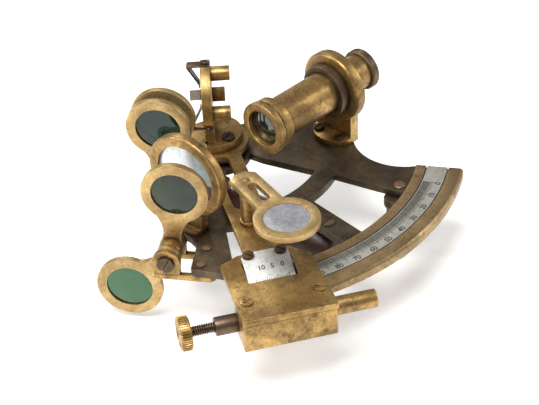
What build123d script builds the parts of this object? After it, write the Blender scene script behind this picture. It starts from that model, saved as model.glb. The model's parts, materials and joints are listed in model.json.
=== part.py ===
from build123d import *
from math import cos, sin, radians, sqrt
import os

os.makedirs("parts", exist_ok=True)

# ---------------------------------------------------------------- driving dimensions (mm)
LIMB_Z = 29.0            # top of the silver scale above the table
LIMB_T = 3.8             # thickness of the limb
PLATE_TOP = 28.4         # top of the frame plate
PLATE_T = 2.8            # thickness of the frame plate
R_LIMB_IN = 74.5         # inner edge of the limb
R_SCALE_IN = 78.5        # inner edge of the silver scale
R_SCALE_OUT = 86.0       # outer edge of the silver scale
R_LIMB_OUT = 91.6        # outer edge of the limb
GROOVE = 0.3             # groove left along each side of the silver scale
LIMB_START = -125.5      # end of the limb beyond 130 on the scale, degrees
LIMB_END = -53.0         # end of the limb beyond 0 on the scale, degrees

ARM_ANGLE = -116.2       # where the index arm stands at rest, degrees
ARM_BOT = 31.2           # underside of the index arm
ARM_TOP = 33.5           # top of the index arm
ARM_HALF = 6.7           # half width of the index arm
BLOCK_BOT = 20.8         # underside of the tangent screw block
MIRROR_R = 12.5          # index mirror frame radius
MIRROR_ANGLE = 51.0      # direction of the index mirror's plane, degrees

SIGHT_Z = 49.5           # height of the telescope's axis
SIGHT_ANGLE = 3.7        # direction of the telescope's axis, degrees
SHADE_R = 11.8           # outer radius of a shade ring
SHADE_GLASS_R = 8.2      # radius of a shade glass
SHADE_T = 2.4            # thickness of a shade ring
SHADE_ANGLE = 38.0       # direction of the shade hinge axes, degrees
HINGE_Z = 27.5           # height of the shade hinge axes

PLATE_BOT = PLATE_TOP - PLATE_T


def unit(angle):
    return Vector(cos(radians(angle)), sin(radians(angle)), 0)


def polar(radius, angle):
    return (radius * cos(radians(angle)), radius * sin(radians(angle)))


def flat(z):
    return Plane(origin=(0, 0, z))


def arm_plane(z):
    return Plane(origin=(0, 0, z), x_dir=unit(ARM_ANGLE), z_dir=(0, 0, 1))


def save(builder, name):
    builder.part.label = name
    export_step(builder.part, "parts/" + name + ".step")


def ring_sector(r_in, r_out, a0, a1):
    mid = (a0 + a1) / 2
    with BuildLine() as outline:
        ThreePointArc(polar(r_in, a0), polar(r_in, mid), polar(r_in, a1))
        Line(polar(r_in, a1), polar(r_out, a1))
        ThreePointArc(polar(r_out, a1), polar(r_out, mid), polar(r_out, a0))
        Line(polar(r_out, a0), polar(r_in, a0))
    make_face(outline.edges())


# ================================================================ frame: plate and limb
BRACE_IN = 39.6          # inner radius of the curved cross brace
BRACE_OUT = 47.2         # outer radius of the curved cross brace
RIVETS = [(-40.1, -43.4), (-47.3, -49.0)]
END_RIVET = (32.5, -63.5)
BRACE_SCREW = (-0.4, -61.6)

with BuildPart() as frame_plate:
    with BuildSketch(flat(PLATE_BOT)):
        Circle(13.2)
        with BuildLine():
            # right radial arm: telescope side down to the zero end of the limb
            Line((3, 12.8), (40, -4.5))
            ThreePointArc((40, -4.5), (45.2, -17.0), (43.0, -28.5))
            ThreePointArc((43.0, -28.5), (36.0, -43.0), polar(R_LIMB_IN, LIMB_END))
            ThreePointArc(polar(R_LIMB_IN, LIMB_END), polar(R_LIMB_IN, -60), polar(R_LIMB_IN, -66.0))
            Line(polar(R_LIMB_IN, -66.0), (20.7, -42.4))
            Line((20.7, -42.4), (17.4, -35.6))
            Line((17.4, -35.6), (9.0, -16.4))
            Line((9.0, -16.4), (7.6, -11.4))
            Line((7.6, -11.4), (3, 12.8))
        make_face()
        with BuildLine():
            # left radial arm: carries the horizon glass, ends past the 130 end of the limb
            Line((-4.0, -10.5), (-22.0, -33.0))
            Line((-22.0, -33.0), (-27.6, -38.4))
            Line((-27.6, -38.4), polar(R_LIMB_IN, -124.6))
            ThreePointArc(polar(R_LIMB_IN, -124.6), polar(R_LIMB_IN, -125.5), polar(R_LIMB_IN, -126.4))
            Line(polar(R_LIMB_IN, -126.4), (-45.4, -57.4))
            Line((-45.4, -57.4), (-51.2, -48.8))
            Line((-51.2, -48.8), (-50.8, -47.8))
            Line((-50.8, -47.8), (-40.6, -38.8))
            Line((-40.6, -38.8), (-40.0, -34.0))
            Line((-40.0, -34.0), (-41.2, -26.0))
            Line((-41.2, -26.0), (-34.0, -20.6))
            Line((-34.0, -20.6), (-12.0, -5.0))
            Line((-12.0, -5.0), (-4.0, -10.5))
        make_face()
        ring_sector(BRACE_IN, BRACE_OUT, -127, -63)
        with Locations((0, -60.8)):
            Rectangle(8.4, 27.4)
    extrude(amount=PLATE_T)
    with BuildSketch(flat(PLATE_BOT)):
        # clean inner edge of the limb
        ring_sector(R_LIMB_IN, 110, -180, -20)
    extrude(amount=PLATE_T, mode=Mode.SUBTRACT)
    with BuildSketch(flat(PLATE_BOT)):
        Circle(3.0)
    extrude(amount=PLATE_T, mode=Mode.SUBTRACT)
save(frame_plate, "frame_plate")

with BuildPart() as limb:
    with BuildSketch(flat(LIMB_Z - LIMB_T)):
        ring_sector(R_LIMB_IN, R_LIMB_OUT, LIMB_START, LIMB_END)
    extrude(amount=LIMB_T)
    with BuildSketch(flat(LIMB_Z - 0.8)):
        ring_sector(R_SCALE_IN - GROOVE, R_SCALE_OUT + GROOVE, LIMB_START - 1, LIMB_END + 1)
    extrude(amount=0.8, mode=Mode.SUBTRACT)
    top_edges = limb.edges().filter_by(GeomType.CIRCLE).filter_by_position(
        Axis.Z, LIMB_Z - 0.01, LIMB_Z + 0.01).sort_by(SortBy.RADIUS)
    chamfer(top_edges[-1], length=0.9)
save(limb, "limb")

with BuildPart() as scale_band:
    with BuildSketch(flat(LIMB_Z - 0.8)):
        ring_sector(R_SCALE_IN + 0.1, R_SCALE_OUT - 0.1, LIMB_START, LIMB_END)
    extrude(amount=0.7)
save(scale_band, "scale_band")

with BuildPart() as frame_rivets:
    with Locations(*[(x, y, PLATE_TOP) for x, y in RIVETS]):
        Cylinder(1.5, 0.5, align=(Align.CENTER, Align.CENTER, Align.MIN))
    with Locations((END_RIVET[0], END_RIVET[1], PLATE_TOP)):
        Cylinder(2.1, 0.4, align=(Align.CENTER, Align.CENTER, Align.MIN))
save(frame_rivets, "frame_rivets")

with BuildPart() as brace_screw:
    with Locations((BRACE_SCREW[0], BRACE_SCREW[1], PLATE_TOP)):
        Cylinder(2.9, 0.5, align=(Align.CENTER, Align.CENTER, Align.MIN))
    with Locations((BRACE_SCREW[0], BRACE_SCREW[1], PLATE_TOP + 0.2)):
        Box(6.0, 0.8, 0.4, rotation=(0, 0, 8), align=(Align.CENTER, Align.CENTER, Align.MIN),
            mode=Mode.SUBTRACT)
save(brace_screw, "brace_screw")

# ================================================================ legs and handle
LEG_SPOTS = [(0.0, 0.0), (28.6, -64.6), (-36.0, -59.6)]
with BuildPart() as legs:
    for x, y in LEG_SPOTS:
        with BuildSketch(Plane(origin=(x, y, 0), x_dir=(1, 0, 0), z_dir=(0, -1, 0))):
            with BuildLine():
                Line((0, 0), (3.2, 0))
                Line((3.2, 0), (4.0, 0.8))
                Line((4.0, 0.8), (4.0, 2.6))
                Line((4.0, 2.6), (2.7, 4.2))
                Line((2.7, 4.2), (2.7, 21.5))
                Line((2.7, 21.5), (3.6, 22.6))
                Line((3.6, 22.6), (3.6, PLATE_BOT))
                Line((3.6, PLATE_BOT), (0, PLATE_BOT))
                Line((0, PLATE_BOT), (0, 0))
            make_face()
        revolve(axis=Axis((x, y, 0), (0, 0, 1)), revolution_arc=360)
save(legs, "legs")

GRIP_A = (2.2, -57.5)
GRIP_B = (-7.6, -13.5)
GRIP_Z = 14.2
GRIP_LEN = sqrt((GRIP_B[0] - GRIP_A[0]) ** 2 + (GRIP_B[1] - GRIP_A[1]) ** 2)
GRIP_DIR = Vector(GRIP_B[0] - GRIP_A[0], GRIP_B[1] - GRIP_A[1], 0).normalized()
GRIP_SIDE = Vector(-GRIP_DIR.Y, GRIP_DIR.X, 0)
with BuildPart() as handle_grip:
    with BuildSketch(Plane(origin=(GRIP_A[0], GRIP_A[1], GRIP_Z), x_dir=GRIP_SIDE,
                           z_dir=GRIP_SIDE.cross(GRIP_DIR))):
        with BuildLine():
            Line((0, -5.2), (6.6, -5.2))
            Spline((6.6, -5.2), (8.6, 0), (8.2, 23), (7.2, 42), (5.2, GRIP_LEN + 3.0))
            Line((5.2, GRIP_LEN + 3.0), (0, GRIP_LEN + 3.0))
            Line((0, GRIP_LEN + 3.0), (0, -5.2))
        make_face()
    revolve(axis=Axis((GRIP_A[0], GRIP_A[1], GRIP_Z), GRIP_DIR), revolution_arc=360)
    with BuildSketch(flat(GRIP_Z)):
        with Locations(GRIP_A, GRIP_B):
            Circle(2.4)
    extrude(amount=12, mode=Mode.SUBTRACT)
save(handle_grip, "handle_grip")

with BuildPart() as handle_posts:
    with BuildSketch(flat(GRIP_Z)):
        with Locations(GRIP_A, GRIP_B):
            Circle(2.4)
    extrude(amount=PLATE_BOT - GRIP_Z)
save(handle_posts, "handle_posts")

# ================================================================ telescope and its stand
SIGHT = unit(SIGHT_ANGLE)
SIGHT_SIDE = unit(SIGHT_ANGLE + 90)
RING_C = Vector(38.8, -23.6, SIGHT_Z)
RING_R = 13.5


def sight_plane(s):
    return Plane(origin=RING_C + SIGHT * s, x_dir=SIGHT_SIDE, z_dir=SIGHT)


with BuildPart() as telescope_stand:
    with BuildSketch(Plane(origin=(RING_C.X, RING_C.Y, PLATE_TOP), x_dir=SIGHT, z_dir=(0, 0, 1))):
        with BuildLine():
            Line((2.2, -9.0), (2.2, 8.0))
            Line((2.2, 8.0), (-3.0, 8.0))
            ThreePointArc((-3.0, 8.0), (-8.6, -0.5), (-3.0, -9.0))
            Line((-3.0, -9.0), (2.2, -9.0))
        make_face()
    extrude(amount=2.4)
    with BuildSketch(sight_plane(-1.8)):
        with BuildLine():
            Line((-9.0, PLATE_TOP - SIGHT_Z), (8.0, PLATE_TOP - SIGHT_Z))
            Line((8.0, PLATE_TOP - SIGHT_Z), (9.4, -8.0))
            Line((9.4, -8.0), (-9.4, -8.0))
            Line((-9.4, -8.0), (-9.0, PLATE_TOP - SIGHT_Z))
        make_face()
        Circle(RING_R, mode=Mode.SUBTRACT)
    extrude(amount=4.0)
save(telescope_stand, "telescope_stand")

with BuildPart() as stand_screws:
    with BuildSketch(Plane(origin=(RING_C.X, RING_C.Y, PLATE_TOP + 2.4), x_dir=SIGHT,
                           z_dir=(0, 0, 1))):
        with Locations((-4.6, 4.6), (-4.6, -5.6)):
            Circle(1.9)
    extrude(amount=1.1)
    with BuildSketch(Plane(origin=(RING_C.X, RING_C.Y, PLATE_TOP + 3.5), x_dir=SIGHT,
                           z_dir=(0, 0, 1))):
        with Locations((-4.6, 4.6), (-4.6, -5.6)):
            Rectangle(5.0, 0.6)
    extrude(amount=-0.5, mode=Mode.SUBTRACT)
save(stand_screws, "stand_screws")

with BuildPart() as collar_ring:
    with BuildSketch(sight_plane(-2.5)):
        Circle(RING_R)
        Circle(8.4, mode=Mode.SUBTRACT)
    extrude(amount=5.0)
    chamfer(collar_ring.edges().filter_by(GeomType.CIRCLE).sort_by(SortBy.RADIUS)[-2:], length=0.7)
save(collar_ring, "collar_ring")

with BuildPart() as thread_bush:
    with BuildSketch(sight_plane(-6.2)):
        Circle(9.9)
        Circle(7.6, mode=Mode.SUBTRACT)
    extrude(amount=3.7)
    with BuildSketch(sight_plane(-2.5)):
        Circle(8.4)
        Circle(7.6, mode=Mode.SUBTRACT)
    extrude(amount=5.6)
save(thread_bush, "thread_bush")

with BuildPart() as telescope_tube:
    with BuildSketch(sight_plane(-30.6)):
        Circle(7.6)
        Circle(6.6, mode=Mode.SUBTRACT)
    extrude(amount=33.7)
save(telescope_tube, "telescope_tube")

with BuildPart() as objective_cell:
    with BuildSketch(sight_plane(-37.4)):
        Circle(9.8)
        Circle(6.8, mode=Mode.SUBTRACT)
    extrude(amount=2.9)
    chamfer(objective_cell.edges().filter_by(GeomType.CIRCLE).sort_by(SortBy.RADIUS)[-2:], length=0.35)
    with BuildSketch(sight_plane(-34.5)):
        Circle(8.9)
        Circle(6.8, mode=Mode.SUBTRACT)
    extrude(amount=0.5)
    with BuildSketch(sight_plane(-34.0)):
        Circle(9.4)
        Circle(6.8, mode=Mode.SUBTRACT)
    extrude(amount=3.4)
    with BuildSketch(sight_plane(-30.6)):
        Circle(8.2)
        Circle(7.6, mode=Mode.SUBTRACT)
    extrude(amount=1.0)
save(objective_cell, "objective_cell")

with BuildPart() as objective_lens:
    with BuildSketch(sight_plane(-35.9)):
        Circle(6.8)
    extrude(amount=2.2)
save(objective_lens, "objective_lens")

# draw tube slides inside the telescope tube
with BuildPart() as draw_tube:
    with BuildSketch(sight_plane(-7.0)):
        Circle(6.54)
        Circle(5.4, mode=Mode.SUBTRACT)
    extrude(amount=19.6)
save(draw_tube, "draw_tube")

with BuildPart() as eye_rim:
    with BuildSketch(sight_plane(12.6)):
        Circle(7.8)
        Circle(4.6, mode=Mode.SUBTRACT)
    extrude(amount=3.4)
    chamfer(eye_rim.edges().filter_by(GeomType.CIRCLE).sort_by(SortBy.RADIUS)[-2:], length=0.4)
save(eye_rim, "eye_rim")

with BuildPart() as eye_lens:
    with BuildSketch(sight_plane(10.6)):
        Circle(5.4)
    extrude(amount=1.6)
save(eye_lens, "eye_lens")

# ================================================================ horizon glass
HG_NORMAL = unit(12.2)
HG_SIDE = unit(102.2)
HG_FRONT = Vector(-37.8, -30.9, 51.0)
HG_R = 15.7
HG_HOLE = 11.8
HG_T = 3.8


def horizon_plane(s):
    return Plane(origin=HG_FRONT + HG_NORMAL * s, x_dir=HG_SIDE, z_dir=HG_NORMAL)


with BuildPart() as horizon_frame:
    with BuildSketch(horizon_plane(0)):
        Circle(HG_R)
        Circle(HG_HOLE, mode=Mode.SUBTRACT)
    extrude(amount=HG_T)
    chamfer(horizon_frame.edges().filter_by(GeomType.CIRCLE).sort_by(SortBy.RADIUS)[-2:],
            length=0.5)
save(horizon_frame, "horizon_frame")

with BuildPart() as horizon_mirror:
    with BuildSketch(horizon_plane(1.0)):
        Circle(HG_HOLE)
        with Locations((0, -10.6)):
            Rectangle(30, 20, mode=Mode.SUBTRACT)
    extrude(amount=1.8)
save(horizon_mirror, "horizon_mirror")

with BuildPart() as horizon_foot:
    with BuildSketch(horizon_plane(0.2)):
        with BuildLine():
            Line((-5.0, PLATE_TOP - HG_FRONT.Z), (5.0, PLATE_TOP - HG_FRONT.Z))
            Line((5.0, PLATE_TOP - HG_FRONT.Z), (7.2, -10.0))
            Line((7.2, -10.0), (-7.2, -10.0))
            Line((-7.2, -10.0), (-5.0, PLATE_TOP - HG_FRONT.Z))
        make_face()
        Circle(HG_R, mode=Mode.SUBTRACT)
    extrude(amount=3.4)
    with BuildSketch(Plane(origin=(HG_FRONT.X, HG_FRONT.Y, PLATE_TOP), x_dir=HG_NORMAL,
                           z_dir=(0, 0, 1))):
        with Locations((1.6, 0)):
            RectangleRounded(7.4, 10.6, 1.6)
    extrude(amount=2.0)
save(horizon_foot, "horizon_foot")

# ================================================================ shades
SHADE_AXIS = unit(SHADE_ANGLE)
SHADE_LEFT = unit(SHADE_ANGLE + 90)
HUB_R = 4.5
PIN_R = 1.6
HORIZON_HINGE = Vector(-54.9, -39.1, HINGE_Z)
INDEX_HINGE = Vector(-28.2, -3.4, HINGE_Z)


def shade_plane(hinge, s, lean):
    across = SHADE_LEFT * cos(radians(lean)) - Vector(0, 0, 1) * sin(radians(lean))
    return Plane(origin=hinge + SHADE_AXIS * s, x_dir=across, z_dir=SHADE_AXIS)


def shade_frame(hinge, s, reach, lean, name):
    neck = reach - SHADE_R * 0.93
    with BuildPart() as body:
        with BuildSketch(shade_plane(hinge, s, lean)):
            Circle(HUB_R)
            with Locations((0, reach)):
                Circle(SHADE_R)
            with BuildLine():
                Spline((-3.9, 1.0), (-3.4, neck * 0.62), (-7.4, reach - 8.4))
                Line((-7.4, reach - 8.4), (7.4, reach - 8.4))
                Spline((7.4, reach - 8.4), (3.4, neck * 0.62), (3.9, 1.0))
                Line((3.9, 1.0), (-3.9, 1.0))
            make_face()
            with Locations((0, reach)):
                Circle(SHADE_GLASS_R, mode=Mode.SUBTRACT)
            Circle(PIN_R + 0.06, mode=Mode.SUBTRACT)
        extrude(amount=SHADE_T)
    save(body, name)


def shade_glass(hinge, s, reach, lean, name):
    with BuildPart() as body:
        with BuildSketch(shade_plane(hinge, s + 0.6, lean)):
            with Locations((0, reach)):
                Circle(SHADE_GLASS_R)
        extrude(amount=1.2)
    save(body, name)


# front layer folded down, rear layer upright, on one hinge pin
FOLD_S, FOLD_REACH, FOLD_LEAN = 2.4, 20.0, 133.0
UP_S, UP_REACH, UP_LEAN = 9.0, 23.0, -6.5
IDX_A_S, IDX_B_S, IDX_REACH = 2.4, 9.4, 23.6
shade_frame(HORIZON_HINGE, FOLD_S, FOLD_REACH, FOLD_LEAN, "horizon_shade_low_frame")
shade_glass(HORIZON_HINGE, FOLD_S, FOLD_REACH, FOLD_LEAN, "horizon_shade_low_glass")
shade_frame(HORIZON_HINGE, UP_S, UP_REACH, UP_LEAN, "horizon_shade_up_frame")
shade_glass(HORIZON_HINGE, UP_S, UP_REACH, UP_LEAN, "horizon_shade_up_glass")
shade_frame(INDEX_HINGE, IDX_A_S, IDX_REACH, 0.0, "index_shade_front_frame")
shade_glass(INDEX_HINGE, IDX_A_S, IDX_REACH, 0.0, "index_shade_front_glass")
shade_frame(INDEX_HINGE, IDX_B_S, IDX_REACH, 0.0, "index_shade_rear_frame")
shade_glass(INDEX_HINGE, IDX_B_S, IDX_REACH, 0.0, "index_shade_rear_glass")


STRIP_TOP = 22.8         # top of the strips that carry the shade forks
STRIP_BOT = 20.7
CHEEK_T = 2.1            # thickness of a fork's cheek


def hinge_fork(hinge, barrel, rear, barrel_stands, name):
    # front cheek, middle barrel and rear cheek, standing on the bracket strip
    drop = HINGE_Z - STRIP_TOP
    with BuildPart() as body:
        for s0, s1, radius, stands in ((0, CHEEK_T, 5.0, True), (barrel[0], barrel[1], 4.4, barrel_stands),
                                       (rear, rear + CHEEK_T, 4.4, True)):
            with BuildSketch(shade_plane(hinge, s0, 0)):
                Circle(radius)
                if stands:
                    with Locations((0, -drop)):
                        Rectangle(2 * radius - 0.6, drop, align=(Align.CENTER, Align.MIN))
                    with Locations((0, -drop)):
                        Rectangle(20, 10, align=(Align.CENTER, Align.MAX), mode=Mode.SUBTRACT)
                Circle(PIN_R, mode=Mode.SUBTRACT)
            extrude(amount=s1 - s0)
    save(body, name)


HORIZON_REAR = 11.8
INDEX_REAR = 12.2
hinge_fork(HORIZON_HINGE, (5.2, 8.6), HORIZON_REAR, False, "horizon_shade_fork")
hinge_fork(INDEX_HINGE, (5.2, 9.0), INDEX_REAR, True, "index_shade_fork")


def hinge_pin(hinge, length, name):
    with BuildPart() as body:
        with BuildSketch(shade_plane(hinge, -0.2, 0)):
            Circle(PIN_R)
        extrude(amount=length)
        with BuildSketch(shade_plane(hinge, -1.3, 0)):
            Circle(3.0)
        extrude(amount=1.3)
        with BuildSketch(shade_plane(hinge, -1.3, 0)):
            Rectangle(0.7, 6.4, rotation=28)
        extrude(amount=0.7, mode=Mode.SUBTRACT)
    save(body, name)


hinge_pin(HORIZON_HINGE, 13.8, "horizon_shade_pin")
hinge_pin(INDEX_HINGE, 14.5, "index_shade_pin")

def fork_corner(hinge, s, x):
    point = hinge + SHADE_AXIS * s + SHADE_LEFT * x
    return (point.X, point.Y)


with BuildPart() as horizon_bracket:
    # two bars from the fork's cheeks, joined by a pad below the plate's left end
    rear_end = HORIZON_REAR + CHEEK_T
    with BuildSketch(flat(STRIP_BOT)):
        with BuildLine():
            Polyline(fork_corner(HORIZON_HINGE, 0, 4.7), fork_corner(HORIZON_HINGE, 0, -15.2),
                     fork_corner(HORIZON_HINGE, 1.6, -16.8), fork_corner(HORIZON_HINGE, rear_end, -15.4),
                     fork_corner(HORIZON_HINGE, rear_end, 4.1),
                     fork_corner(HORIZON_HINGE, HORIZON_REAR, 4.1),
                     fork_corner(HORIZON_HINGE, HORIZON_REAR, -11.4),
                     fork_corner(HORIZON_HINGE, CHEEK_T, -11.4),
                     fork_corner(HORIZON_HINGE, CHEEK_T, 4.7), fork_corner(HORIZON_HINGE, 0, 4.7))
        make_face()
    extrude(amount=STRIP_TOP - STRIP_BOT)
    with BuildSketch(flat(STRIP_TOP)):
        with BuildLine():
            Polyline(fork_corner(HORIZON_HINGE, 1.6, -11.8), fork_corner(HORIZON_HINGE, 1.6, -15.6),
                     fork_corner(HORIZON_HINGE, rear_end, -15.0),
                     fork_corner(HORIZON_HINGE, rear_end, -11.8),
                     fork_corner(HORIZON_HINGE, 1.6, -11.8))
        make_face()
    extrude(amount=PLATE_BOT - STRIP_TOP)
save(horizon_bracket, "horizon_bracket")

with BuildPart() as index_bracket:
    # strip below the plate's apex, carrying the index shade fork
    with BuildSketch(flat(STRIP_BOT)):
        with BuildLine():
            Polyline(fork_corner(INDEX_HINGE, 0, -0.8), fork_corner(INDEX_HINGE, 0, -6.4),
                     (-12.0, -8.6), (-5.4, -7.4), (-5.4, 4.6),
                     fork_corner(INDEX_HINGE, 14.3, -0.8), fork_corner(INDEX_HINGE, 0, -0.8))
        make_face()
    extrude(amount=STRIP_TOP - STRIP_BOT)
    with BuildSketch(flat(STRIP_TOP)):
        with Locations((-8.0, -1.6)):
            Rectangle(4.8, 10.0)
    extrude(amount=PLATE_BOT - STRIP_TOP)
save(index_bracket, "index_bracket")

# ================================================================ index arm
BLOCK_IN = 92.6          # inner face of the tangent screw block, from the pivot
BLOCK_OUT = 105.0        # front face of the tangent screw block
BLOCK_HALF = 15.9        # half width of the block
END_IN = 70.3            # where the arm widens into the end plate

with BuildPart() as pivot_boss:
    with BuildSketch(flat(PLATE_TOP + 0.3)):
        Circle(10.5)
    extrude(amount=ARM_BOT - PLATE_TOP - 0.3)
    with BuildSketch(flat(PLATE_BOT + 0.3)):
        Circle(2.95)
    extrude(amount=PLATE_T)
save(pivot_boss, "pivot_boss")

with BuildPart() as index_arm_plate:
    with BuildSketch(arm_plane(ARM_BOT)):
        Circle(12.5)
        with Locations((37.0, 0)):
            Rectangle(70.0, 2 * ARM_HALF)
        with BuildLine():
            Polyline((END_IN, -9.2), (73.6, -BLOCK_HALF), (BLOCK_OUT, -BLOCK_HALF),
                     (BLOCK_OUT, BLOCK_HALF + 0.5), (76.0, 15.0), (END_IN, 8.7), (END_IN, -9.2))
        make_face()
        # long window through the arm
        with Locations((28.6, -0.9)):
            SlotOverall(33.0, 5.4)
        with Locations((28.6, -0.9)):
            SlotOverall(33.0, 5.4, mode=Mode.SUBTRACT)
        # vernier window
        with Locations((80.6, -0.4)):
            Rectangle(10.8, 17.4, mode=Mode.SUBTRACT)
    extrude(amount=ARM_TOP - ARM_BOT)
save(index_arm_plate, "index_arm_plate")

with BuildPart() as tangent_block:
    with BuildSketch(arm_plane(BLOCK_BOT)):
        with Locations(((BLOCK_IN + BLOCK_OUT) / 2, 0)):
            Rectangle(BLOCK_OUT - BLOCK_IN, 2 * BLOCK_HALF)
    extrude(amount=ARM_BOT - BLOCK_BOT)
    chamfer(tangent_block.edges().filter_by(Axis.Z), length=0.5)
save(tangent_block, "tangent_block")

with BuildPart() as limb_clamp:
    with BuildSketch(arm_plane(BLOCK_BOT)):
        with Locations(((77.4 + BLOCK_IN) / 2, 0)):
            Rectangle(BLOCK_IN - 77.4, 24.0)
        with Locations((84.5, 0)):
            Circle(2.6, mode=Mode.SUBTRACT)
    extrude(amount=2.6)
save(limb_clamp, "limb_clamp")

with BuildPart() as clamp_screw:
    with BuildSketch(arm_plane(BLOCK_BOT + 3.6)):
        with Locations((84.5, 0)):
            Circle(2.52)
    extrude(amount=-6.6)
    with BuildSketch(arm_plane(BLOCK_BOT - 3.0)):
        with Locations((84.5, 0)):
            Circle(6.0)
    extrude(amount=-3.6)
save(clamp_screw, "clamp_screw")

with BuildPart() as vernier:
    with BuildSketch(Plane(origin=Vector(0, 0, 0) + unit(ARM_ANGLE + 90) * -8.6,
                           x_dir=unit(ARM_ANGLE), z_dir=unit(ARM_ANGLE - 90))):
        with BuildLine():
            Polyline((70.9, ARM_TOP), (75.2, ARM_TOP), (84.4, LIMB_Z + 0.5), (85.0, LIMB_Z + 0.5),
                     (85.0, LIMB_Z + 1.1), (84.6, LIMB_Z + 1.3), (75.6, ARM_TOP + 0.8),
                     (70.9, ARM_TOP + 0.8), (70.9, ARM_TOP))
        make_face()
    extrude(amount=-16.4)
    chamfer(vernier.edges().filter_by(Axis.Z).sort_by(Axis((0, 0, 0), unit(ARM_ANGLE)))[0:2],
            length=2.2)
save(vernier, "vernier")


def arm_screw_group(spots, z, radius, height, slot_angle, name):
    with BuildPart() as body:
        with BuildSketch(arm_plane(z)):
            with Locations(*spots):
                Circle(radius)
        extrude(amount=height)
        with BuildSketch(arm_plane(z + height)):
            with Locations(*spots):
                Rectangle(2 * radius + 1, 0.6, rotation=slot_angle)
        extrude(amount=-0.45, mode=Mode.SUBTRACT)
    save(body, name)


arm_screw_group([(73.0, -6.0), (73.0, 5.2)], ARM_TOP + 0.8, 2.0, 1.1, 40, "vernier_screws")
with BuildPart() as block_screws:
    for v, cuts in ((-12.2, (20, 110)), (12.8, (62,))):
        with BuildSketch(arm_plane(ARM_TOP)):
            with Locations((95.4, v)):
                Circle(2.1)
        extrude(amount=0.6)
        with BuildSketch(arm_plane(ARM_TOP + 0.6)):
            for cut in cuts:
                with Locations((95.4, v)):
                    Rectangle(3.0 if len(cuts) > 1 else 5.0, 0.6, rotation=cut)
        extrude(amount=-0.4, mode=Mode.SUBTRACT)
save(block_screws, "block_screws")

# tangent screw on the left of the block, guide rod on the right
SCREW_U = 95.2
SCREW_Z = 26.0


def cross_plane(u, v):
    origin = unit(ARM_ANGLE) * u + unit(ARM_ANGLE + 90) * v + Vector(0, 0, SCREW_Z)
    return Plane(origin=origin, x_dir=unit(ARM_ANGLE), z_dir=unit(ARM_ANGLE + 90))


with BuildPart() as screw_collar:
    with BuildSketch(cross_plane(SCREW_U, -BLOCK_HALF)):
        Circle(3.2)
        Circle(1.92, mode=Mode.SUBTRACT)
    extrude(amount=-7.6)
save(screw_collar, "screw_collar")

with BuildPart() as tangent_screw:
    with BuildSketch(cross_plane(SCREW_U, -BLOCK_HALF - 0.4)):
        Circle(1.86)
    extrude(amount=-17.4)
save(tangent_screw, "tangent_screw")

with BuildPart() as tangent_knob:
    with BuildSketch(cross_plane(SCREW_U, -BLOCK_HALF - 16.0)):
        Circle(6.0)
        Circle(1.86, mode=Mode.SUBTRACT)
    extrude(amount=-3.8)
    chamfer(tangent_knob.edges().filter_by(GeomType.CIRCLE).sort_by(SortBy.RADIUS)[-2:], length=0.4)
save(tangent_knob, "tangent_knob")

with BuildPart() as guide_rod:
    with BuildSketch(cross_plane(97.4, BLOCK_HALF)):
        Circle(3.2)
    extrude(amount=15.4)
    chamfer(guide_rod.edges().filter_by(GeomType.CIRCLE), length=0.4)
save(guide_rod, "guide_rod")

# ================================================================ index mirror, over the pivot
MIRROR_Z = 53.0
MIR_SIDE = unit(MIRROR_ANGLE)
MIR_BACK = unit(MIRROR_ANGLE - 90)


def mirror_plane(s):
    # local x along the mirror's width, y up; normal points to the adjusters' side
    return Plane(origin=MIR_BACK * s + Vector(0, 0, MIRROR_Z), x_dir=MIR_SIDE, z_dir=MIR_BACK)


MIRROR_FACE = -3.3       # front of the mirror frame, measured from the pivot axis
MIRROR_T = 3.6
CLIP_FLAT = 12.1         # flats on the frame's rim, under the clips
CLIP_AT = (3, 124, -134)


def clip_plane(turn):
    # local x along the mirror's normal, y outwards through the clip
    outwards = MIR_SIDE * sin(radians(turn)) + Vector(0, 0, 1) * cos(radians(turn))
    return Plane(origin=(0, 0, MIRROR_Z), x_dir=MIR_BACK, z_dir=MIR_BACK.cross(outwards))


with BuildPart() as mirror_foot:
    with BuildSketch(flat(ARM_TOP)):
        Circle(10.4)
        with BuildLine():
            left = MIR_BACK * (MIRROR_FACE - 0.2)
            p1 = left + MIR_SIDE * 20
            p2 = left - MIR_SIDE * 20
            p3 = p2 - MIR_BACK * 20
            p4 = p1 - MIR_BACK * 20
            Polyline((p1.X, p1.Y), (p2.X, p2.Y), (p3.X, p3.Y), (p4.X, p4.Y), (p1.X, p1.Y))
        make_face(mode=Mode.SUBTRACT)
    extrude(amount=3.4)
    with BuildSketch(mirror_plane(MIRROR_FACE)):
        with Locations((0, ARM_TOP + 3.4 - MIRROR_Z)):
            Rectangle(13.0, 7.0, align=(Align.CENTER, Align.MIN))
        Circle(MIRROR_R, mode=Mode.SUBTRACT)
    extrude(amount=MIRROR_T)
save(mirror_foot, "mirror_foot")

with BuildPart() as mirror_frame:
    with BuildSketch(mirror_plane(MIRROR_FACE)):
        Circle(MIRROR_R)
    extrude(amount=MIRROR_T)
    chamfer(mirror_frame.edges().filter_by(GeomType.CIRCLE), length=0.3)
    with BuildSketch(mirror_plane(MIRROR_FACE)):
        Circle(10.4)
    extrude(amount=1.2, mode=Mode.SUBTRACT)
    for turn in CLIP_AT:
        with BuildSketch(clip_plane(turn)):
            with Locations((MIRROR_FACE / 2, CLIP_FLAT)):
                Rectangle(6, 3, align=(Align.CENTER, Align.MIN))
        extrude(amount=2.0, both=True, mode=Mode.SUBTRACT)
save(mirror_frame, "mirror_frame")

with BuildPart() as mirror_glass:
    with BuildSketch(mirror_plane(MIRROR_FACE)):
        Circle(10.4)
    extrude(amount=1.2)
save(mirror_glass, "mirror_glass")

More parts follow.
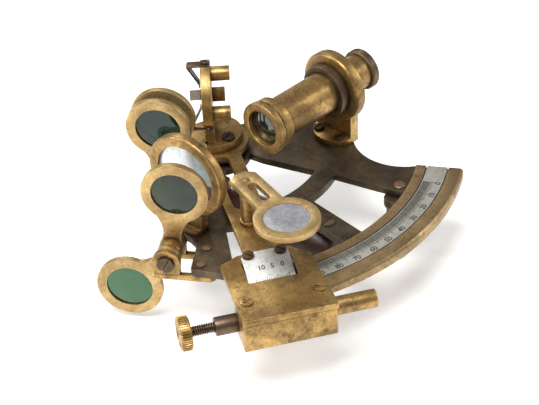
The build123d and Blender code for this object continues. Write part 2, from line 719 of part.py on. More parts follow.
ADJUSTERS = [(0, 8.6, 6.9), (-6.0, -4.6, 6.5), (6.0, -4.2, 4.6)]
with BuildPart() as mirror_adjusters:
    for x, y, length in ADJUSTERS:
        with BuildSketch(mirror_plane(MIRROR_FACE + MIRROR_T)):
            with Locations((x, y)):
                Circle(2.7)
        extrude(amount=length)
save(mirror_adjusters, "mirror_adjusters")

with BuildPart() as mirror_clips:
    # bent springs: along the rim, out past the face, and folded back onto the glass
    for turn in CLIP_AT:
        with BuildSketch(clip_plane(turn)):
            with BuildLine():
                Polyline((0.1, CLIP_FLAT), (0.1, CLIP_FLAT + 0.6), (-7.6, CLIP_FLAT + 0.6),
                         (-8.2, CLIP_FLAT), (-4.2, 5.0), (-4.2, 3.8), (-3.7, 3.8), (-3.7, 5.2),
                         (-7.4, CLIP_FLAT), (0.1, CLIP_FLAT))
            make_face()
        extrude(amount=1.9, both=True)
save(mirror_clips, "mirror_clips")

with BuildPart() as clip_screws:
    for turn in CLIP_AT:
        side = clip_plane(turn)
        head = Plane(origin=side.origin + side.x_dir * -1.6 + side.y_dir * (CLIP_FLAT + 0.6),
                     x_dir=side.x_dir, z_dir=side.y_dir)
        with BuildSketch(head):
            Circle(1.3)
        extrude(amount=0.9)
        with BuildSketch(head.offset(0.9)):
            Rectangle(3.4, 0.45, rotation=35)
        extrude(amount=-0.4, mode=Mode.SUBTRACT)
save(clip_screws, "clip_screws")

with BuildPart() as mirror_foot_screw:
    spot = MIR_BACK * 5.2 - MIR_SIDE * 5.4
    with BuildSketch(Plane(origin=Vector(spot.X, spot.Y, ARM_TOP + 3.4))):
        Circle(2.3)
    extrude(amount=1.3)
    with BuildSketch(Plane(origin=Vector(spot.X, spot.Y, ARM_TOP + 4.7))):
        Rectangle(5.2, 0.7, rotation=20)
    extrude(amount=-0.5, mode=Mode.SUBTRACT)
save(mirror_foot_screw, "mirror_foot_screw")

# ================================================================ reading glass
POST_U = 53.0
POST_V = -0.4
GLASS_Z = 48.9           # underside of the reading glass plate
GLASS_T = 2.2
GLASS_REACH = 25.7
GLASS_TURN = 16.8        # direction of the reading glass from the arm, degrees
POST = unit(ARM_ANGLE) * POST_U + unit(ARM_ANGLE + 90) * POST_V

with BuildPart() as glass_post:
    with BuildSketch(Plane(origin=Vector(POST.X, POST.Y, ARM_TOP))):
        Circle(3.3)
    extrude(amount=1.2)
    with BuildSketch(Plane(origin=Vector(POST.X, POST.Y, ARM_TOP + 1.2))):
        Circle(2.8)
    extrude(amount=GLASS_Z - ARM_TOP - 1.5)
    with BuildSketch(Plane(origin=Vector(POST.X, POST.Y, GLASS_Z - 0.3))):
        Circle(1.2)
    extrude(amount=GLASS_T + 0.3)
save(glass_post, "glass_post")


def glass_plane(z):
    return Plane(origin=Vector(POST.X, POST.Y, z), x_dir=unit(ARM_ANGLE + GLASS_TURN),
                 z_dir=(0, 0, 1))


with BuildPart() as reading_glass_frame:
    with BuildSketch(glass_plane(GLASS_Z)):
        with BuildLine():
            Polyline((-5.0, -2.2), (-5.0, 2.2), (-2.4, 5.0), (GLASS_REACH - 7, 5.0),
                     (GLASS_REACH - 7, -5.0), (-2.4, -5.0), (-5.0, -2.2))
        make_face()
        with Locations((GLASS_REACH, 0)):
            Circle(11.3)
        with Locations((8.0, 0)):
            SlotOverall(11.0, 3.6, mode=Mode.SUBTRACT)
        with Locations((GLASS_REACH, 0)):
            Circle(7.9, mode=Mode.SUBTRACT)
        Circle(1.26, mode=Mode.SUBTRACT)
    extrude(amount=GLASS_T)
save(reading_glass_frame, "reading_glass_frame")

with BuildPart() as reading_glass_lens:
    with BuildSketch(glass_plane(GLASS_Z + 0.3)):
        with Locations((GLASS_REACH, 0)):
            Circle(7.9)
    extrude(amount=GLASS_T - 0.5)
save(reading_glass_lens, "reading_glass_lens")
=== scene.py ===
import json
import math

import bmesh
import bpy
from mathutils import Matrix, Vector


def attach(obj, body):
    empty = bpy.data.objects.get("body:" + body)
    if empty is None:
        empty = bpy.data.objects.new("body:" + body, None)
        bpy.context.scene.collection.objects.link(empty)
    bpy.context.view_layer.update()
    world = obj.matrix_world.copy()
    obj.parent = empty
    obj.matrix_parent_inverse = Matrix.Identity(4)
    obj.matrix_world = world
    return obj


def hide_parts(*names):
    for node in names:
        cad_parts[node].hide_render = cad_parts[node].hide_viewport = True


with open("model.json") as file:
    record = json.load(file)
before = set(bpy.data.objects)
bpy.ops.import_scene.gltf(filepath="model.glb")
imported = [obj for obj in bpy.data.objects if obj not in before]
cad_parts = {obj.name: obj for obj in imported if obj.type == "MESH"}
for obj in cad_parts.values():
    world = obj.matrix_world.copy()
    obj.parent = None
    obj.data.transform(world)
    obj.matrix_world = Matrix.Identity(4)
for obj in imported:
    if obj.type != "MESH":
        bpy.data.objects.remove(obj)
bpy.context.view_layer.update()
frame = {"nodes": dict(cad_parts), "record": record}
NODES = frame["nodes"]
BODY_OF = {n: b for b, ns in frame["record"]["behaviour"]["bodies"].items() for n in ns}
SLOT_OF = {s["node"]: s["material_slot"] for s in frame["record"]["subparts"]}
MM = 0.001

# the model's own angles and heights, in degrees and mm
LIMB_Z = 29.0
ARM = -116.2
ARM_TOP = 33.5
SIGHT = 3.7
RING_C = Vector((38.8, -23.6, 49.5))
SCALE_ZERO = -60.0
GLASS_IOR = 1.5
SHARP_EDGE = 34.0        # a finer piece has every edge sharper than this broken


def unit(a):
    return Vector((math.cos(math.radians(a)), math.sin(math.radians(a)), 0.0))


def basis(x, y, z, origin):
    m = Matrix((x, y, z)).transposed().to_4x4()
    m.translation = origin
    return m


# ---------------------------------------------------------------- node helpers
class Mat:
    """Small builder for one Principled material."""

    def __init__(self, name):
        self.m = bpy.data.materials.new(name)
        self.m.use_nodes = True
        self.t = self.m.node_tree
        self.n = self.t.nodes
        self.b = next(x for x in self.n if x.type == "BSDF_PRINCIPLED")
        self.out = next(x for x in self.n if x.type == "OUTPUT_MATERIAL")
        self.co = self.n.new("ShaderNodeTexCoord").outputs["Object"]

    def link(self, a, b):
        self.t.links.new(a, b)

    def mapped(self, scale=(1, 1, 1), rot=(0, 0, 0)):
        x = self.n.new("ShaderNodeMapping")
        x.inputs["Scale"].default_value = scale
        x.inputs["Rotation"].default_value = rot
        self.link(self.co, x.inputs["Vector"])
        return x.outputs["Vector"]

    def noise(self, scale, detail=4.0, rough=0.55, vec=None, distort=0.0):
        x = self.n.new("ShaderNodeTexNoise")
        x.inputs["Scale"].default_value = scale
        x.inputs["Detail"].default_value = detail
        x.inputs["Roughness"].default_value = rough
        x.inputs["Distortion"].default_value = distort
        self.link(vec if vec is not None else self.co, x.inputs["Vector"])
        return x.outputs["Fac"]

    def ramp(self, fac, stops):
        x = self.n.new("ShaderNodeValToRGB")
        el = x.color_ramp.elements
        while len(el) > len(stops):
            el.remove(el[-1])
        while len(el) < len(stops):
            el.new(1.0)
        for e, (p, c) in zip(el, stops):
            e.position = p
            e.color = (c, c, c, 1) if isinstance(c, (int, float)) else (*c, 1)
        self.link(fac, x.inputs["Fac"])
        return x.outputs["Color"]

    def mix(self, fac, a, b, mode="MIX"):
        x = self.n.new("ShaderNodeMix")
        x.data_type = "RGBA"
        x.blend_type = mode
        for sock, val in ((x.inputs[0], fac), (x.inputs[6], a), (x.inputs[7], b)):
            if hasattr(val, "links"):
                self.link(val, sock)
            elif isinstance(val, (int, float)):
                sock.default_value = val
            else:
                sock.default_value = (*val, 1)
        return x.outputs[2]

    def math(self, op, a, b=0.0, clamp=True):
        x = self.n.new("ShaderNodeMath")
        x.operation = op
        x.use_clamp = clamp
        for sock, val in ((x.inputs[0], a), (x.inputs[1], b)):
            if hasattr(val, "links"):
                self.link(val, sock)
            else:
                sock.default_value = val
        return x.outputs[0]

    def bump(self, height, strength, distance, normal=None):
        x = self.n.new("ShaderNodeBump")
        x.inputs["Strength"].default_value = strength
        x.inputs["Distance"].default_value = distance
        self.link(height, x.inputs["Height"])
        if normal is not None:
            self.link(normal, x.inputs["Normal"])
        return x.outputs["Normal"]

    def edge_mask(self, radius):
        bev = self.n.new("ShaderNodeBevel")
        bev.samples = 4
        bev.inputs["Radius"].default_value = radius
        geo = self.n.new("ShaderNodeNewGeometry")
        dot = self.n.new("ShaderNodeVectorMath")
        dot.operation = "DOT_PRODUCT"
        self.link(bev.outputs["Normal"], dot.inputs[0])
        self.link(geo.outputs["Normal"], dot.inputs[1])
        return self.ramp(dot.outputs["Value"], [(0.80, 1.0), (0.985, 0.0)])

    # Painted shade: a mask from Ambient Occlusion, high in crevices, recesses and beside other parts.
    def cavity(self, distance):
        ao = self.n.new("ShaderNodeAmbientOcclusion")
        ao.samples = 4
        ao.only_local = False
        ao.inputs["Distance"].default_value = distance
        return self.ramp(ao.outputs["AO"], [(0.25, 1.0), (0.80, 0.0)])


def brass(name, base, light, dark, rough=0.36, patina=0.5, edge=0.7, metallic=0.95,
          grain=(1.0, 1.0, 1.0), pits=0.5):
    k = Mat(name)
    cloud = k.noise(70.0, 6.0, 0.62, distort=0.4)
    blot = k.noise(260.0, 5.0, 0.6)
    speck = k.noise(1400.0, 3.0, 0.7)
    col = k.mix(k.ramp(cloud, [(0.36, 0.0), (0.66, 1.0)]), base, light)
    stain = k.ramp(k.noise(85.0, 9.0, 0.70, distort=0.6), [(0.50 - 0.16 * patina, 1.0), (0.64, 0.0)])
    grainy = k.ramp(k.noise(520.0, 8.0, 0.75, distort=0.5), [(0.40, 1.0), (0.58, 0.0)])
    broad = k.math("MULTIPLY", stain, 0.80)
    stain = k.math("MULTIPLY", k.math("ADD", broad, k.math("MULTIPLY", grainy, 0.26)), patina)
    col = k.mix(stain, col, dark)
    spots = k.math("MULTIPLY", k.ramp(blot, [(0.30, 1.0), (0.42, 0.0)]), 0.75 * pits)
    col = k.mix(spots, col, [c * 0.45 for c in dark])
    fine = k.math("MULTIPLY", k.ramp(speck, [(0.34, 1.0), (0.48, 0.0)]), 0.50)
    col = k.mix(fine, col, dark)
    # painted shade: colour darkened in crevices, recesses and between parts
    painted_shade = k.math("MULTIPLY", k.cavity(0.0035), 0.85)
    col = k.mix(painted_shade, col, [c * 0.35 for c in dark])
    wear = k.math("MULTIPLY", k.edge_mask(0.00045), k.ramp(k.noise(400.0, 3.0), [(0.35, 0.1), (0.6, 1.0)]))
    wear = k.math("MULTIPLY", wear, edge)
    col = k.mix(wear, col, [min(1.0, c * 1.35) for c in light])
    k.link(col, k.b.inputs["Base Color"])
    scratch = k.noise(1.0, 4.0, 0.6, vec=k.mapped([1500 * g for g in grain], (0.3, 0.2, 0.7)))
    scratch2 = k.noise(1.0, 2.0, 0.5, vec=k.mapped((4200, 160, 160), (0.1, 0.5, 1.1)))
    r = k.mix(0.5, k.ramp(cloud, [(0.3, rough - 0.09), (0.7, rough + 0.10)]),
              k.ramp(scratch, [(0.3, rough - 0.10), (0.7, rough + 0.14)]))
    r = k.mix(stain, r, (rough + 0.20,) * 3)
    r = k.mix(wear, r, (rough - 0.10,) * 3)
    k.link(r, k.b.inputs["Roughness"])
    met = k.mix(stain, (metallic,) * 3, (metallic * 0.72,) * 3)
    k.link(met, k.b.inputs["Metallic"])
    n1 = k.bump(scratch, 0.10, 0.0002)
    n2 = k.bump(scratch2, 0.08, 0.0002, n1)
    n3 = k.bump(blot, 0.16, 0.0004, n2)
    k.link(n3, k.b.inputs["Normal"])
    return k.m


def silvered(name, low, high, metallic):
    k = Mat(name)
    cloud = k.noise(90.0, 6.0, 0.6)
    col = k.mix(k.ramp(cloud, [(0.35, 0.0), (0.7, 1.0)]), low, high)
    dirt = k.math("MULTIPLY", k.ramp(k.noise(700.0, 5.0, 0.7), [(0.34, 1.0), (0.5, 0.0)]), 0.45)
    col = k.mix(dirt, col, (0.22, 0.19, 0.14))
    # painted shade: colour darkened in crevices, recesses and between parts
    painted_shade = k.math("MULTIPLY", k.cavity(0.0018), 0.75)
    col = k.mix(painted_shade, col, (0.08, 0.06, 0.04))
    k.link(col, k.b.inputs["Base Color"])
    k.b.inputs["Metallic"].default_value = metallic
    line = k.noise(1.0, 3.0, 0.6, vec=k.mapped((3800, 260, 260), (0.0, 0.0, 0.5)))
    k.link(k.ramp(line, [(0.3, 0.30), (0.7, 0.48)]), k.b.inputs["Roughness"])
    k.link(k.bump(line, 0.12, 0.0002), k.b.inputs["Normal"])
    return k.m


def wood(name):
    k = Mat(name)
    rings = k.noise(1.0, 6.0, 0.65, vec=k.mapped((900, 130, 900), (0.0, 0.0, -0.22)), distort=0.6)
    col = k.ramp(rings, [(0.30, (0.010, 0.004, 0.003)), (0.52, (0.030, 0.010, 0.006)),
                         (0.75, (0.066, 0.021, 0.011))])
    pores = k.noise(1.0, 2.0, 0.5, vec=k.mapped((5200, 420, 5200), (0.0, 0.0, -0.22)))
    in_pores = k.math("MULTIPLY", k.ramp(pores, [(0.32, 1.0), (0.44, 0.0)]), 0.7)
    col = k.mix(in_pores, col, (0.015, 0.006, 0.004))
    k.link(col, k.b.inputs["Base Color"])
    k.link(k.ramp(rings, [(0.3, 0.42), (0.7, 0.30)]), k.b.inputs["Roughness"])
    k.b.inputs["Coat Weight"].default_value = 0.08
    k.b.inputs["Coat Roughness"].default_value = 0.35
    k.link(k.bump(pores, 0.25, 0.0003), k.b.inputs["Normal"])
    return k.m


def glass(name, tint, rough):
    k = Mat(name)
    haze = k.noise(240.0, 4.0, 0.6)
    col = k.mix(k.ramp(haze, [(0.35, 0.0), (0.7, 1.0)]), tint, [min(1.0, c * 1.25 + 0.004) for c in tint])
    k.link(col, k.b.inputs["Base Color"])
    k.b.inputs["Transmission Weight"].default_value = 1.0
    k.b.inputs["IOR"].default_value = GLASS_IOR
    smear = k.ramp(k.noise(160.0, 5.0, 0.7, distort=1.2), [(0.45, rough), (0.75, rough + 0.10)])
    k.link(smear, k.b.inputs["Roughness"])
    return k.m


def mirror(name):
    k = Mat(name)
    fog = k.noise(150.0, 6.0, 0.7, distort=0.6)
    col = k.ramp(fog, [(0.30, (0.50, 0.54, 0.55)), (0.55, (0.76, 0.79, 0.80)), (0.8, (0.85, 0.87, 0.88))])
    spots = k.math("MULTIPLY", k.ramp(k.noise(900.0, 3.0, 0.6), [(0.26, 1.0), (0.36, 0.0)]), 0.6)
    col = k.mix(spots, col, (0.10, 0.12, 0.11))
    k.link(col, k.b.inputs["Base Color"])
    k.b.inputs["Metallic"].default_value = 0.55
    k.link(k.ramp(fog, [(0.35, 0.30), (0.65, 0.16)]), k.b.inputs["Roughness"])
    return k.m


def frosted(name):
    k = Mat(name)
    mottle = k.noise(900.0, 4.0, 0.65)
    cloud = k.noise(140.0, 4.0, 0.6)
    col = k.mix(k.ramp(cloud, [(0.35, 0.0), (0.7, 1.0)]), (0.20, 0.20, 0.21), (0.36, 0.36, 0.36))
    col = k.mix(k.math("MULTIPLY", k.ramp(mottle, [(0.35, 1.0), (0.6, 0.0)]), 0.45), col, (0.10, 0.10, 0.11))
    k.link(col, k.b.inputs["Base Color"])
    k.b.inputs["Metallic"].default_value = 0.15
    k.b.inputs["Coat Weight"].default_value = 0.5
    k.b.inputs["Coat Roughness"].default_value = 0.12
    k.link(k.ramp(mottle, [(0.3, 0.62), (0.7, 0.42)]), k.b.inputs["Roughness"])
    k.link(k.bump(mottle, 0.35, 0.0004), k.b.inputs["Normal"])
    return k.m


MATS = {
    "dark_brass": brass("dark_brass", (0.092, 0.067, 0.043), (0.210, 0.152, 0.088), (0.022, 0.018, 0.016),
                        rough=0.40, patina=0.60, edge=1.0, metallic=0.88),
    "limb_brass": brass("limb_brass", (0.370, 0.250, 0.115), (0.540, 0.380, 0.185), (0.100, 0.062, 0.036),
                        rough=0.36, patina=0.60, edge=1.0),
    "worn_brass": brass("worn_brass", (0.450, 0.272, 0.088), (0.740, 0.480, 0.175), (0.078, 0.045, 0.021),
                        rough=0.33, patina=0.78, edge=1.0, pits=0.7),
    "shade_brass": brass("shade_brass", (0.560, 0.372, 0.150), (0.760, 0.545, 0.245), (0.190, 0.116, 0.052),
                         rough=0.37, patina=0.62, edge=0.9, pits=0.4),
    "bronzed_brass": brass("bronzed_brass", (0.155, 0.105, 0.064), (0.250, 0.172, 0.104),
                           (0.050, 0.035, 0.026), rough=0.38, patina=0.55, edge=1.0),
    "screws": brass("screws", (0.110, 0.074, 0.045), (0.200, 0.140, 0.085), (0.034, 0.025, 0.020),
                    rough=0.36, patina=0.5, edge=1.0),
    "copper_rivets": brass("copper_rivets", (0.300, 0.175, 0.100), (0.400, 0.250, 0.150),
                           (0.130, 0.075, 0.045), rough=0.42, patina=0.4, edge=0.5),
    "silvered_scale": silvered("silvered_scale", (0.40, 0.39, 0.33), (0.54, 0.53, 0.47), 0.60),
    "wood": wood("wood"),
    "lens_glass": glass("lens_glass", (0.62, 0.74, 0.70), rough=0.0),
    "frosted_lens": frosted("frosted_lens"),
    "mirror_glass": mirror("mirror_glass"),
    "dark_green_glass": glass("dark_green_glass", (0.050, 0.115, 0.092), rough=0.02),
    "green_glass": glass("green_glass", (0.030, 0.095, 0.042), rough=0.02),
}


# Painted shade: a near-black glossy lens, standing for the dark tube seen through the objective.
def dark_lens(name):
    k = Mat(name)
    veil = k.noise(200.0, 4.0, 0.6)
    k.link(k.mix(k.ramp(veil, [(0.35, 0.0), (0.7, 1.0)]), (0.006, 0.011, 0.010), (0.014, 0.024, 0.021)),
           k.b.inputs["Base Color"])
    k.link(k.ramp(veil, [(0.4, 0.03), (0.75, 0.08)]), k.b.inputs["Roughness"])
    k.b.inputs["Coat Weight"].default_value = 1.0
    k.b.inputs["Coat Roughness"].default_value = 0.02
    return k.m


# Flat dark material: engraving ink, and painted shade inside the telescope tube.
def engraved(name, color):
    k = Mat(name)
    k.link(k.mix(k.ramp(k.noise(600.0), [(0.3, 0.0), (0.7, 1.0)]), color, [c * 2.2 for c in color]),
           k.b.inputs["Base Color"])
    k.b.inputs["Roughness"].default_value = 0.6
    return k.m


INK = engraved("engraving", (0.018, 0.014, 0.012))
# painted shade: near-black material for the dark inside of the telescope tube
TUBE_SHADE = engraved("painted_tube_shade", (0.010, 0.009, 0.008))
OBJECTIVE_SHADE = dark_lens("objective_painted_shade")


# ---------------------------------------------------------------- mesh helpers
def new_object(name, verts, faces, body, slot, mat=None, smooth=40.0):
    me = bpy.data.meshes.new(name)
    me.from_pydata([Vector(v) * MM for v in verts], [], faces)
    bm = bmesh.new()
    bm.from_mesh(me)
    bmesh.ops.recalc_face_normals(bm, faces=bm.faces)
    bm.to_mesh(me)
    bm.free()
    ob = bpy.data.objects.new(name, me)
    bpy.context.scene.collection.objects.link(ob)
    me.materials.append(mat or MATS[slot])
    if smooth:
        me.shade_smooth()
        me.set_sharp_from_angle(angle=math.radians(smooth))
    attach(ob, body)
    return ob


def lathe(profile, steps, m, ripple=None):
    """Revolve (r, z) points about local z. ripple(i, r) may change a radius for knurls."""
    verts, faces = [], []
    n = len(profile)
    for i in range(steps):
        a = 2 * math.pi * i / steps
        for j, (r, z) in enumerate(profile):
            rr = ripple(i, j, r) if ripple else r
            verts.append(m @ Vector((rr * math.cos(a), rr * math.sin(a), z)))
    for i in range(steps):
        k = (i + 1) % steps
        for j in range(n - 1):
            faces.append((i * n + j, k * n + j, k * n + j + 1, i * n + j + 1))
    return verts, faces


def finer(node, bevel):
    """The node's own shape with its edges broken, standing for the node."""
    src = NODES[node]
    bm = bmesh.new()
    bm.from_mesh(src.data)
    bmesh.ops.remove_doubles(bm, verts=bm.verts, dist=2e-6)
    bmesh.ops.dissolve_limit(bm, angle_limit=math.radians(0.6), verts=bm.verts, edges=bm.edges)
    sharp = math.radians(SHARP_EDGE)
    edges = [e for e in bm.edges if len(e.link_faces) == 2 and e.calc_face_angle(0) > sharp]
    if bevel:
        bmesh.ops.bevel(bm, geom=edges, offset=bevel * MM, segments=2, profile=0.6,
                        affect="EDGES", clamp_overlap=True)
    bmesh.ops.triangulate(bm, faces=[f for f in bm.faces if len(f.verts) > 4])
    me = bpy.data.meshes.new(node + "_fine")
    bm.to_mesh(me)
    bm.free()
    ob = bpy.data.objects.new(node + "_fine", me)
    bpy.context.scene.collection.objects.link(ob)
    me.materials.append(MATS[SLOT_OF[node]])
    me.shade_smooth()
    me.set_sharp_from_angle(angle=math.radians(32))
    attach(ob, BODY_OF[node])
    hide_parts(node)
    return ob


for node, ob in NODES.items():
    ob.data.materials.clear()
    ob.data.materials.append(MATS[SLOT_OF[node]])

BEVELS = {
    "frame_plate": 0.3, "limb": 0.15, "index_arm_plate": 0.25, "tangent_block": 0.25, "limb_clamp": 0.25,
    "scale_band": 0.0, "vernier": 0.10, "frame_rivets": 0.2, "brace_screw": 0.08, "stand_screws": 0.12,
    "vernier_screws": 0.12, "block_screws": 0.12, "mirror_foot_screw": 0.12, "legs": 0.25,
    "telescope_stand": 0.35, "collar_ring": 0.3, "thread_bush": 0.2, "objective_cell": 0.3,
    "telescope_tube": 0.0, "draw_tube": 0.1, "horizon_frame": 0.35, "horizon_foot": 0.35,
    "horizon_shade_fork": 0.35, "index_shade_fork": 0.35, "horizon_shade_pin": 0.15,
    "index_shade_pin": 0.15, "horizon_bracket": 0.3, "index_bracket": 0.3, "pivot_boss": 0.2,
    "screw_collar": 0.3, "guide_rod": 0.15, "mirror_foot": 0.35, "mirror_frame": 0.3,
    "mirror_adjusters": 0.3, "mirror_clips": 0.1, "clip_screws": 0.1, "glass_post": 0.2,
    "reading_glass_frame": 0.35,
    "horizon_shade_low_frame": 0.4, "horizon_shade_up_frame": 0.4, "index_shade_front_frame": 0.4,
    "index_shade_rear_frame": 0.4, "handle_posts": 0.3, "handle_grip": 0.0, "clamp_screw": 0.3,
    "mirror_glass": 0.12, "horizon_mirror": 0.1, "eye_lens": 0.1, "reading_glass_lens": 0.15,
    "horizon_shade_low_glass": 0.1, "horizon_shade_up_glass": 0.1, "index_shade_front_glass": 0.1,
    "index_shade_rear_glass": 0.1,
}
for node, width in BEVELS.items():
    finer(node, width)
# The vernier gets a lighter, less metallic copy of the scale's silvering: painted sheen of its sloped face.
VERNIER_PAINTED_SHEEN = silvered("silvered_vernier_painted_sheen", (0.66, 0.68, 0.64), (0.80, 0.81, 0.77), 0.30)
bpy.data.objects["vernier_fine"].data.materials[0] = VERNIER_PAINTED_SHEEN

# ---------------------------------------------------------------- scale: ticks and numbers
def tick_mesh(items, name, body):
    """items: (matrix, half width, length, height) boxes, their length along local +y."""
    verts, faces = [], []
    for m, w, length, h in items:
        b = len(verts)
        for x, y, z in ((-w, 0, 0), (w, 0, 0), (w, length, 0), (-w, length, 0),
                        (-w, 0, h), (w, 0, h), (w, length, h), (-w, length, h)):
            verts.append(m @ Vector((x, y, z)))
        faces += [(b + 4, b + 5, b + 6, b + 7), (b, b + 1, b + 5, b + 4), (b + 1, b + 2, b + 6, b + 5),
                  (b + 2, b + 3, b + 7, b + 6), (b + 3, b, b + 4, b + 7), (b + 3, b + 2, b + 1, b)]
    return new_object(name, verts, faces, body, "screws", INK, smooth=0)


def text_object(name, text, m, size, body, depth=0.02):
    cu = bpy.data.curves.new(name, "FONT")
    cu.body = text
    cu.size = size
    cu.align_x = "CENTER"
    cu.align_y = "CENTER"
    cu.extrude = depth
    cu.offset = 0.016 * size
    cu.resolution_u = 3
    tmp = bpy.data.objects.new(name + "_t", cu)
    bpy.context.scene.collection.objects.link(tmp)
    bpy.context.view_layer.update()
    me = bpy.data.meshes.new_from_object(tmp.evaluated_get(bpy.context.evaluated_depsgraph_get()))
    bpy.data.objects.remove(tmp)
    me.transform(m)
    me.transform(Matrix.Scale(MM, 4))
    me.materials.clear()
    me.materials.append(INK)
    ob = bpy.data.objects.new(name, me)
    bpy.context.scene.collection.objects.link(ob)
    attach(ob, body)
    return ob


def at_angle(a, r, z):
    """Local +y points in towards the pivot and +x along the arc."""
    return basis(unit(a + 90), unit(a) * -1, Vector((0, 0, 1)), unit(a) * r + Vector((0, 0, z)))


SCALE_TOP = LIMB_Z - 0.1    # face of the silvered band
SCALE_MAX = 130             # degrees read; each is half a degree of arc
TICK_R = 78.9               # inner end of every tick
TICK_H = 0.03
NUMBER_R = 84.4
NUMBER_SIZE = 2.9


def tick_size(step):
    """Length and half width of the tick at this count of half degrees."""
    for every, length, half in ((20, 4.6, 0.14), (10, 4.2, 0.13), (2, 3.7, 0.11)):
        if step % every == 0:
            return length, half
    return 2.6, 0.085


def scale_marks():
    marks = []
    for step in range(2 * SCALE_MAX + 1):
        length, half = tick_size(step)
        m = at_angle(SCALE_ZERO - step / 4, TICK_R + length, SCALE_TOP)
        marks.append((m, half, length, TICK_H))
    tick_mesh(marks, "scale_marks", "frame")
    for value in range(0, SCALE_MAX + 1, 10):
        m = at_angle(SCALE_ZERO - value / 2, NUMBER_R, SCALE_TOP)
        text_object("scale_number_%d" % value, str(value), m, NUMBER_SIZE, "frame", TICK_H)


scale_marks()

# ---------------------------------------------------------------- vernier marks, on its sloping face
ARM_OUT = unit(ARM)
ARM_SIDE = unit(ARM + 90)
VERNIER_IN = Vector((75.6, 0, ARM_TOP + 0.8))     # ends of the slope: radius, -, height
VERNIER_OUT = Vector((84.6, 0, LIMB_Z + 1.3))
COMB_FIRST = 5.6
COMB_PITCH = 0.38
COMB_HALF = 0.095
COMB_H = 0.02


def vernier_at(share, across):
    """A frame on the slope: share of the way out, and mm across."""
    down = (VERNIER_OUT - VERNIER_IN).normalized()
    p = VERNIER_IN.lerp(VERNIER_OUT, share)
    origin = ARM_OUT * p.x + ARM_SIDE * across + Vector((0, 0, p.z))
    inwards = (ARM_OUT * down.x + Vector((0, 0, down.z))).normalized() * -1
    return basis(ARM_SIDE, inwards, ARM_SIDE.cross(inwards).normalized(), origin)


def vernier_marks():
    marks = []
    for i in range(31):
        length = 2.9 if i % 10 == 0 else (2.3 if i % 2 == 0 else 1.7)
        marks.append((vernier_at(0.985, COMB_FIRST - i * COMB_PITCH), COMB_HALF, length, COMB_H))
    tick_mesh(marks, "vernier_marks", "index_arm")
    for text, across in (("0", 4.4), ("5", 0.9), ("10", -2.9)):
        text_object("vernier_number_" + text, text, vernier_at(0.33, across), 2.6, "index_arm", COMB_H)


vernier_marks()

# ---------------------------------------------------------------- tangent screw
SCREW_U = 95.2
SCREW_Z = 26.0
BLOCK_HALF = 15.9
KNURLS = 44
RIM_KNURLS = 60


def axis_matrix(direction, origin):
    z = direction.normalized()
    x = Vector((0, 0, 1)).cross(z)
    x = x.normalized() if x.length > 1e-6 else Vector((1, 0, 0))
    return basis(x, z.cross(x), z, origin)


def screw_matrix(beyond):
    """z runs outwards along the tangent screw, from a point this far beyond the block's side."""
    sideways = ARM_SIDE * (BLOCK_HALF + beyond)
    return axis_matrix(ARM_SIDE * -1, ARM_OUT * SCREW_U - sideways + Vector((0, 0, SCREW_Z)))


def grooves(depth):
    """Knurl grooves across a profile's points 2 and 3, half as wide as their spacing."""
    return lambda i, j, r: r - (depth if j in (2, 3) and i % 4 in (0, 1) else 0.0)


def tangent_knob():
    profile = [(0.0, 0.0), (5.3, 0.0), (5.98, 0.5), (5.98, 3.3), (5.4, 3.8), (4.4, 3.8), (4.2, 3.55),
               (1.3, 3.55), (1.0, 3.2), (0.0, 3.2)]
    verts, faces = lathe(profile, KNURLS * 4, screw_matrix(16.0), grooves(0.38))
    knob = new_object("tangent_knob_fine", verts, faces, "tangent_screw", "worn_brass", smooth=24)
    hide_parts("tangent_knob")


def tangent_thread():
    """A shaft with a helical ridge, standing for the plain one."""
    m = screw_matrix(0.4)
    pitch, long, steps = 0.78, 17.4, 28
    core_r, ridge = 1.36, 0.49
    rows = int(long / pitch * 6)
    verts, faces = [], []
    for j in range(rows + 1):
        z = long * j / rows
        for i in range(steps):
            a = 2 * math.pi * i / steps
            rise = abs((z / pitch - i / steps) % 1.0 - 0.5) * 2
            r = core_r + ridge * min(1.0, rise * 1.35)
            verts.append(m @ Vector((r * math.cos(a), r * math.sin(a), z)))
    for j in range(rows):
        for i in range(steps):
            k = (i + 1) % steps
            faces.append((j * steps + i, j * steps + k, (j + 1) * steps + k, (j + 1) * steps + i))
    faces.append(tuple(range(steps)))
    faces.append(tuple(rows * steps + i for i in range(steps)))
    shaft = new_object("tangent_screw_fine", verts, faces, "tangent_screw", "bronzed_brass", smooth=50)
    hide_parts("tangent_screw")


tangent_knob()
tangent_thread()

# ---------------------------------------------------------------- telescope details
SIGHT_V = unit(SIGHT)
RIM_S = 12.6          # stations along the telescope, from the collar ring
LENS_S = -35.85
SHADE_DISC_S = -32.8
LENS_R = 6.78


def sight_matrix(s):
    return axis_matrix(SIGHT_V, RING_C + SIGHT_V * s)


def eye_rim():
    profile = [(4.6, 0.0), (7.2, 0.0), (7.78, 0.45), (7.78, 2.95), (7.2, 3.4), (5.6, 3.4), (4.6, 2.2),
               (4.6, 0.0)]
    verts, faces = lathe(profile, RIM_KNURLS * 4, sight_matrix(RIM_S), grooves(0.22))
    rim = new_object("eye_rim_fine", verts, faces, "eyepiece", "bronzed_brass", smooth=24)
    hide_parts("eye_rim")


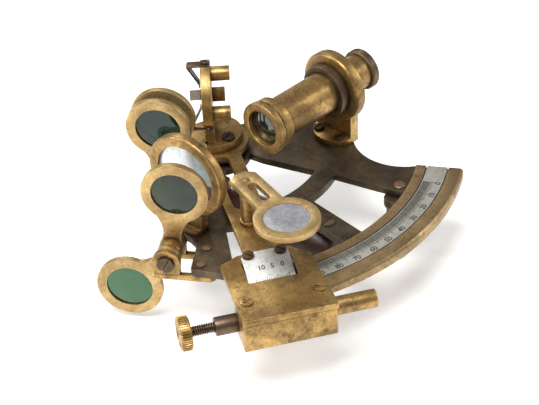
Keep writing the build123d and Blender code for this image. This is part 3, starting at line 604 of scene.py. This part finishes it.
def objective():
    """The curved lens, near-black as painted shade of the dark tube, and a near-black disc behind it,
    painted shade of the tube's inside.
    """
    curve = [(LENS_R * k / 10, 0.9 * (k / 10) ** 2) for k in range(1, 11)]
    profile = [(0.0, 0.0)] + curve + [(LENS_R, 2.0), (0.0, 2.0)]
    verts, faces = lathe(profile, 64, sight_matrix(LENS_S))
    # the lens is near-black: painted shade of the tube behind it
    lens = new_object("objective_lens_fine", verts, faces, "frame", "lens_glass", OBJECTIVE_SHADE, smooth=30)
    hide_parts("objective_lens")
    # A near-black disc inside the tube behind the lens: painted shade of the tube's inside.
    verts, faces = lathe([(0.0, 0.0), (6.5, 0.0), (6.5, 0.4), (0.0, 0.4)], 48, sight_matrix(SHADE_DISC_S))
    new_object("objective_shade_disc", verts, faces, "frame", "bronzed_brass", TUBE_SHADE, smooth=30)


eye_rim()
objective()

# ---------------------------------------------------------------- camera, floor, lights
cam = bpy.data.cameras.new("camera")
cam.sensor_width = 36.0
cam.lens = 128.69
cam.clip_start = 0.01
cam_ob = bpy.data.objects.new("camera", cam)
cam_x = Vector((0.752624, -0.656593, -0.049417))
cam_y = Vector((0.421823, 0.423167, 0.80187))
cam_ob.matrix_world = basis(cam_x, cam_y, cam_x.cross(cam_y), Vector((-0.352117, -0.464417, 0.434436)))
bpy.context.scene.collection.objects.link(cam_ob)
bpy.context.scene.camera = cam_ob


def pale_floor():
    half = 4.0
    me = bpy.data.meshes.new("floor")
    corners = [(-half, -half, 0), (half, -half, 0), (half, half, 0), (-half, half, 0)]
    me.from_pydata(corners, [], [(0, 1, 2, 3)])
    ob = bpy.data.objects.new("floor", me)
    bpy.context.scene.collection.objects.link(ob)
    k = Mat("floor")
    k.link(k.mix(k.noise(3.0), (0.86, 0.86, 0.86), (0.89, 0.89, 0.89)), k.b.inputs["Base Color"])
    k.b.inputs["Emission Color"].default_value = (1.0, 0.985, 0.95, 1)
    k.b.inputs["Emission Strength"].default_value = 0.38
    k.b.inputs["Roughness"].default_value = 0.85
    k.b.inputs["Specular IOR Level"].default_value = 0.1
    me.materials.append(k.m)


def area(name, loc, target, size, size_y, power):
    light = bpy.data.lights.new(name, "AREA")
    light.energy = power
    light.shape = "RECTANGLE"
    light.size = size
    light.size_y = size_y
    ob = bpy.data.objects.new(name, light)
    ob.location = loc
    ob.rotation_euler = (target - loc).to_track_quat("-Z", "Y").to_euler()
    bpy.context.scene.collection.objects.link(ob)


pale_floor()
look = Vector((-0.005, -0.045, 0.03))
across = Vector((0.777, -0.629, 0))      # level, to the camera's right
deep = Vector((0.629, 0.777, 0))         # level, away from the camera
rise = Vector((0, 0, 1))
for name, x, y, z, size, size_y, power in (
        ("top", -0.15, -0.25, 0.85, 0.50, 0.40, 9.0),
        ("left", -0.75, 0.05, 0.42, 0.18, 0.60, 2.8),
        ("right", 0.80, 0.15, 0.40, 0.20, 0.50, 2.0),
        ("behind", -0.25, 0.75, 0.62, 0.22, 0.50, 1.6)):
    area(name, look + across * x + deep * y + rise * z, look, size, size_y, power)

world = bpy.data.worlds.new("studio")
world.use_nodes = True
bg = world.node_tree.nodes["Background"]
bg.inputs["Color"].default_value = (0.97, 0.98, 1.0, 1)
bg.inputs["Strength"].default_value = 0.24
bpy.context.scene.world = world
bpy.context.scene.view_settings.view_transform = "Standard"
